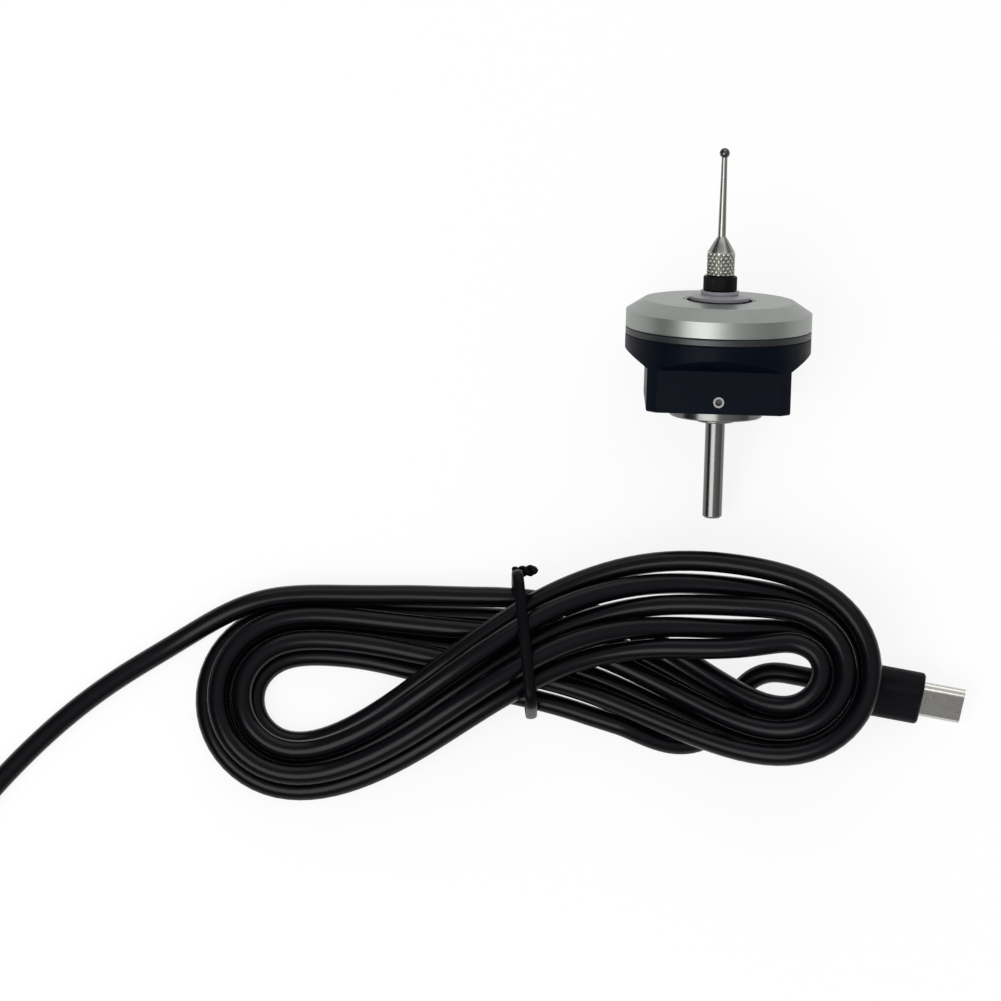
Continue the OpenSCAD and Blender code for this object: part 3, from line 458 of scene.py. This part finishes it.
class Surface:
    """A material under construction: a Principled shader and the node helpers that feed it."""

    def __init__(self, name, colour, roughness, metallic=0.0):
        self.material = bpy.data.materials.new(name)
        self.material.use_nodes = True
        self.tree = self.material.node_tree
        self.shader = self.tree.nodes["Principled BSDF"]
        self.shader.inputs["Base Color"].default_value = (*colour, 1)
        self.shader.inputs["Roughness"].default_value = roughness
        self.shader.inputs["Metallic"].default_value = metallic
        self.colour = colour
        coordinates = self.node("ShaderNodeTexCoord")
        self.place = coordinates.outputs["Object"]

    def node(self, kind, **settings):
        new = self.tree.nodes.new(kind)
        for name, value in settings.items():
            setattr(new, name, value)
        return new

    def link(self, source, target):
        self.tree.links.new(source, target)

    def set(self, **inputs):
        for name, value in inputs.items():
            self.shader.inputs[name.replace("_", " ")].default_value = value

    def math(self, operation, a, b=None, c=None):
        new = self.node("ShaderNodeMath", operation=operation)
        for socket, value in zip(new.inputs, (a, b, c)):
            if isinstance(value, (int, float)):
                socket.default_value = value
            elif value is not None:
                self.link(value, socket)
        return new.outputs[0]

    def length(self, a, b):
        squares = (self.math("POWER", side, 2) for side in (a, b))
        return self.math("SQRT", self.math("ADD", *squares))

    def on_axis(self):
        """Coordinates on the probe: two outputs across it and one along its axis."""
        new = self.node("ShaderNodeMapping", vector_type="TEXTURE")
        new.inputs["Location"].default_value = PROBE.translation
        new.inputs["Rotation"].default_value = PROBE.to_euler()
        self.link(self.place, new.inputs["Vector"])
        split = self.node("ShaderNodeSeparateXYZ")
        self.link(new.outputs["Vector"], split.inputs[0])
        return split.outputs

    def axis_distance(self):
        return self.length(*self.on_axis()[:2])

    def turned_place(self):
        """Distance from the axis and height along it, as a vector, so that noise forms rings."""
        x, y, height = self.on_axis()
        join = self.node("ShaderNodeCombineXYZ")
        self.link(self.length(x, y), join.inputs[0])
        self.link(height, join.inputs[1])
        return join.outputs[0]

    def socket_shade_distance(self):
        """Distance from the axis of the nearest centring screw, for the painted shade inside its
        socket.
        """
        x, y, height = self.on_axis()
        aside = self.math("MINIMUM", self.math("ABSOLUTE", x), self.math("ABSOLUTE", y))
        return self.length(aside, self.math("SUBTRACT", height, CENTRING_AT * MM))

    def noise(self, scale, detail=3.0, place=None):
        new = self.node("ShaderNodeTexNoise")
        new.inputs["Scale"].default_value = scale
        new.inputs["Detail"].default_value = detail
        self.link(place or self.place, new.inputs["Vector"])
        return new.outputs["Fac"]

    def range(self, value, low, high, start=0.3, end=0.7):
        new = self.node("ShaderNodeMapRange")
        set_range(new, start, end, low, high)
        self.link(value, new.inputs["Value"])
        return new.outputs["Result"]

    def tint(self, value, low, high, start=0.3, end=0.7):
        """Colour between two shades of the base, by a value that runs from start to end."""
        new = self.node("ShaderNodeMix", data_type="RGBA")
        new.inputs["A"].default_value = (*(c * low for c in self.colour), 1)
        new.inputs["B"].default_value = (*(min(c * high, 1) for c in self.colour), 1)
        self.link(self.range(value, 0, 1, start, end), new.inputs["Factor"])
        self.link(new.outputs["Result"], self.shader.inputs["Base Color"])

    def rough(self, value, low, high):
        self.link(self.range(value, low, high), self.shader.inputs["Roughness"])

    def bump(self, value, depth_mm):
        new = self.node("ShaderNodeBump")
        new.inputs["Strength"].default_value = 1
        new.inputs["Distance"].default_value = depth_mm * MM
        self.link(value, new.inputs["Height"])
        self.link(new.outputs["Normal"], self.shader.inputs["Normal"])


def turned_metal(name, colour, roughness, rings, depth, change):
    """Metal off the lathe, with fine rings about the probe's axis in colour, gloss and height."""
    new = Surface(name, colour, roughness, 1.0)
    grooves = new.noise(rings, 2.0, new.turned_place())
    patches = new.math("MULTIPLY", new.noise(PATCH_SCALE), 1 - RING_SHARE)
    mixed = new.math("MULTIPLY_ADD", grooves, RING_SHARE, patches)
    new.tint(mixed, 1 - change / 2, 1 + change / 2)
    new.rough(grooves, roughness * (1 - change), roughness * (1 + change))
    new.bump(grooves, depth)
    return new


def moulded(name, colour, roughness, grain, depth):
    """Plastic, coating or blasted metal with an even fine grain."""
    new = Surface(name, colour, roughness)
    fine = new.noise(grain, 4.0)
    wide = new.noise(grain / 25)
    new.tint(wide, 0.88, 1.12)
    new.rough(wide, roughness * 0.88, min(roughness * 1.15, 1))
    new.bump(fine, depth)
    return new


def polished(name, colour, roughness):
    """Polished metal with faint wiping marks."""
    new = Surface(name, colour, roughness, 1.0)
    marks = new.noise(MARK_SCALE)
    new.tint(marks, 0.97, 1.03)
    new.rough(marks, roughness * 0.85, roughness * 1.2)
    return new


def dress(material, *names):
    for name in names:
        obj = nodes[name] if name in nodes else bpy.data.objects[name]
        obj.data.materials.clear()
        obj.data.materials.append(material.material)


jacket = moulded("jacket", (0.0015, 0.0017, 0.0028), 0.24, grain=900, depth=0.008)
jacket.set(Specular_IOR_Level=0.14)
mould_plastic = moulded("plug_plastic", (0.003, 0.003, 0.0045), 0.45, grain=6000, depth=0.01)
mould_plastic.set(Specular_IOR_Level=0.07)
dark_anodised = moulded("dark_anodised", (0.0015, 0.0032, 0.0078), 0.4, grain=9000, depth=0.004)
dark_anodised.set(Specular_IOR_Level=0.045)
grey_anodised = turned_metal("grey_anodised", (0.055, 0.057, 0.06), 0.45, rings=9000, depth=0.002,
                             change=0.2)
cover_metal = turned_metal("turned_aluminium", (0.3, 0.315, 0.3), 0.44, rings=7000, depth=0.002,
                           change=0.2)
skirt_rubber = moulded("skirt_rubber", (0.27, 0.265, 0.295), 0.45, grain=5000, depth=0.004)
steel = turned_metal("ground_steel", (0.14, 0.14, 0.137), 0.22, rings=12000, depth=0.0002,
                     change=0.06)
bright_steel = polished("bright_steel", (0.56, 0.55, 0.52), 0.2)
# Painted shade: the inside of each centring screw's hex socket is darkened by distance from the
# screw's axis
screw_steel = Surface("screw_steel", (0.19, 0.19, 0.186), 0.26, 1.0)
screw_steel.tint(screw_steel.socket_shade_distance(), 0.2, 1,
                 CENTRING_KEY * 0.5 * MM, CENTRING_KEY * 0.58 * MM)
dark_steel = polished("black_steel", (0.08, 0.08, 0.085), 0.35)
stylus_steel = turned_metal("stylus_steel", (0.25, 0.243, 0.23), 0.24, rings=5000, depth=0.0001,
                            change=0.06)
# Painted shade: the knurl's grooves are darkened by their distance from the probe's axis
knurl_steel = Surface("knurl_steel", (0.5, 0.5, 0.455), 0.32, 1.0)
knurl_steel.tint(knurl_steel.axis_distance(), 0.04, 1,
                 (GRIP_R - KNURL_DEPTH) * MM, (GRIP_R - KNURL_DEPTH * 0.35) * MM)
ball_metal = polished("ball_carbide", (0.1, 0.098, 0.098), 0.1)
black_oxide = moulded("black_oxide", (0.003, 0.003, 0.004), 0.35, grain=9000, depth=0.003)
black_oxide.set(Specular_IOR_Level=0.08)
tie_coating = moulded("tie_coating", (0.002, 0.002, 0.003), 0.35, grain=5000, depth=0.003)
tie_coating.set(Specular_IOR_Level=0.06)
gasket_rubber = moulded("gasket_rubber", (0.004, 0.004, 0.004), 0.7, grain=5000, depth=0.005)
gasket_rubber.set(Specular_IOR_Level=0.15)
insulator = moulded("insulator", (0.68, 0.66, 0.58), 0.5, grain=5000, depth=0.004)
board_mask = moulded("board_mask", (0.02, 0.16, 0.07), 0.35, grain=4000, depth=0.002)
chip_plastic = moulded("chip_plastic", (0.025, 0.025, 0.027), 0.6, grain=8000, depth=0.003)
led_resin = moulded("led_resin", (0.6, 0.06, 0.04), 0.2, grain=2000, depth=0.001)
wire_red = moulded("wire_insulation", (0.45, 0.03, 0.03), 0.4, grain=3000, depth=0.003)
nylon = moulded("nylon", (0.7, 0.68, 0.6), 0.45, grain=3000, depth=0.004)

dress(jacket, "signal_lead")
dress(mould_plastic, "plug_strain_relief", "plug_body", "usb_socket_tongue", "plug_insert")
dress(dark_anodised, "housing")
dress(grey_anodised, "middle_ring")
dress(cover_metal, "top_cover", "retaining_ring")
dress(skirt_rubber, "dust_skirt")
dress(steel, "shank", "shank_washer")
dress(screw_steel, "centring_screws")
dress(bright_steel, "cover_screws", "board_screws", "usb_socket_shell", "plug_shell",
      "seat_balls", "pressure_ball", "contact_pins", "return_spring")
dress(dark_steel, "shank_screw")
dress(stylus_steel, "stylus_turned", "tripod_hub")
dress(knurl_steel, "stylus_knurl")
dress(ball_metal, "stylus_ball")
dress(black_oxide, "collar_fluted")
dress(tie_coating, "tie_loop", "tie_twist_a", "tie_twist_b")
dress(gasket_rubber, "lower_gasket", "upper_gasket", "tail_sleeve")
dress(insulator, "ball_seat_ring", "spring_cap")
dress(board_mask, "circuit_board")
dress(chip_plastic, "board_chips")
dress(led_resin, "status_leds")
dress(wire_red, "hookup_wires", "tail_wires")
dress(nylon, "tail_connector")

# Floor, sky and lamps

FLOOR_SIZE = 6
FLOOR_GLOW = 0.85
WORLD_LOW = 0.2
WORLD_HIGH = 0.75
WORLD_LEFT = 0.12
PAPER_SCALE = 40


def add_floor():
    """Pale floor that glows white for the camera and in reflections and still takes shadows."""
    mesh = bpy.data.meshes.new("floor")
    half = FLOOR_SIZE / 2
    corners = [(-half, -half, 0), (half, -half, 0), (half, half, 0), (-half, half, 0)]
    mesh.from_pydata(corners, [], [(0, 1, 2, 3)])
    floor = bpy.data.objects.new("floor", mesh)
    scene.collection.objects.link(floor)
    paper = Surface("floor_paper", (0.97, 0.97, 0.97), 0.9)
    paper.tint(paper.noise(PAPER_SCALE), 0.995, 1.0)
    glow = paper.node("ShaderNodeEmission")
    rays = paper.node("ShaderNodeLightPath")
    seen = paper.math("MAXIMUM", rays.outputs["Is Camera Ray"], rays.outputs["Is Glossy Ray"])
    seen = paper.math("MAXIMUM", seen, rays.outputs["Is Transmission Ray"])
    mix = paper.node("ShaderNodeMixShader")
    paper.link(paper.math("MULTIPLY", seen, FLOOR_GLOW), mix.inputs["Fac"])
    paper.link(paper.shader.outputs["BSDF"], mix.inputs[1])
    paper.link(glow.outputs["Emission"], mix.inputs[2])
    paper.link(mix.outputs["Shader"], paper.tree.nodes["Material Output"].inputs["Surface"])
    mesh.materials.append(paper.material)


def add_world():
    """White sky that is darker towards the horizon and towards the left."""
    world = bpy.data.worlds.new("studio")
    scene.world = world
    world.use_nodes = True
    tree = world.node_tree
    place = tree.nodes.new("ShaderNodeTexCoord")
    split = tree.nodes.new("ShaderNodeSeparateXYZ")
    tree.links.new(place.outputs["Generated"], split.inputs[0])
    product = tree.nodes.new("ShaderNodeMath")
    product.operation = "MULTIPLY"
    ranges = [(2, 0, 1, WORLD_LOW, WORLD_HIGH), (0, -1, 0, WORLD_LEFT, 1)]
    for i, (output, start, end, low, high) in enumerate(ranges):
        part = tree.nodes.new("ShaderNodeMapRange")
        set_range(part, start, end, low, high)
        tree.links.new(split.outputs[output], part.inputs["Value"])
        tree.links.new(part.outputs["Result"], product.inputs[i])
    background = tree.nodes["Background"]
    background.inputs["Color"].default_value = (1, 1, 1, 1)
    tree.links.new(product.outputs["Value"], background.inputs["Strength"])


def add_lamp(name, place, size, power):
    """Rectangular lamp that faces the probe's place on the table."""
    data = bpy.data.lights.new(name, "AREA")
    data.shape = "RECTANGLE"
    data.size = size[0]
    data.size_y = size[1]
    data.energy = power
    lamp = bpy.data.objects.new(name, data)
    lamp.location = place
    lamp.rotation_euler = Vector(place).to_track_quat("Z", "Y").to_euler()
    scene.collection.objects.link(lamp)


add_floor()
add_world()
add_lamp("key", place=(-0.4, -0.5, 0.86), size=(0.8, 0.6), power=6.5)
add_lamp("fill", place=(0.1, 0.95, 0.6), size=(1.4, 0.9), power=5)
scene.view_settings.view_transform = "Standard"

# What the lead is: its pieces

lead_pieces = [nodes[name]
               for name in ("plug_strain_relief", "plug_shell", "plug_insert",
                            "tail_sleeve", "tail_wires", "tail_connector")]
lead_pieces += [bpy.data.objects[name]
                for name in ("plug_body", "tie_loop", "tie_twist_a", "tie_twist_b")]
